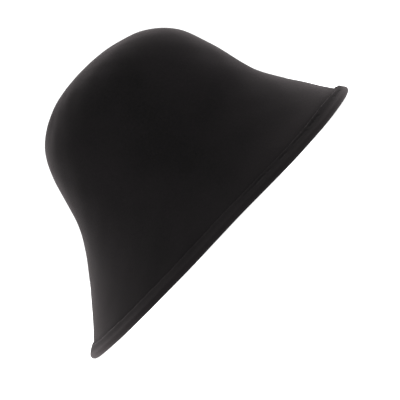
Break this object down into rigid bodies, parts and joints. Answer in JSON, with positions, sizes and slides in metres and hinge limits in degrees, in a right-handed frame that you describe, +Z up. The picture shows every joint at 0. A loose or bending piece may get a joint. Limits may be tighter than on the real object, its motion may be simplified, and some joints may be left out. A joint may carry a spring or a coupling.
{
  "type": "cloche hat",
  "caption": "Black felt cloche hat: a deep round crown that runs without a break into a flared brim, whose edge is turned up outside and stitched down as a welt.",
  "frame": {"origin": "middle of the rim's box, on the surface that the rim stands on", "axes": "+Z up to the crown, -Y to the front of the hat, +X to the wearer's left"},
  "size_m": [0.28, 0.31, 0.175],
  "materials": {
    "black_wool_felt": "matt blocked wool felt",
    "black_thread": "spun sewing thread"
  },
  "bodies": {
    "root": {"felt_body": "black_wool_felt"}
  },
  "joints": []
}
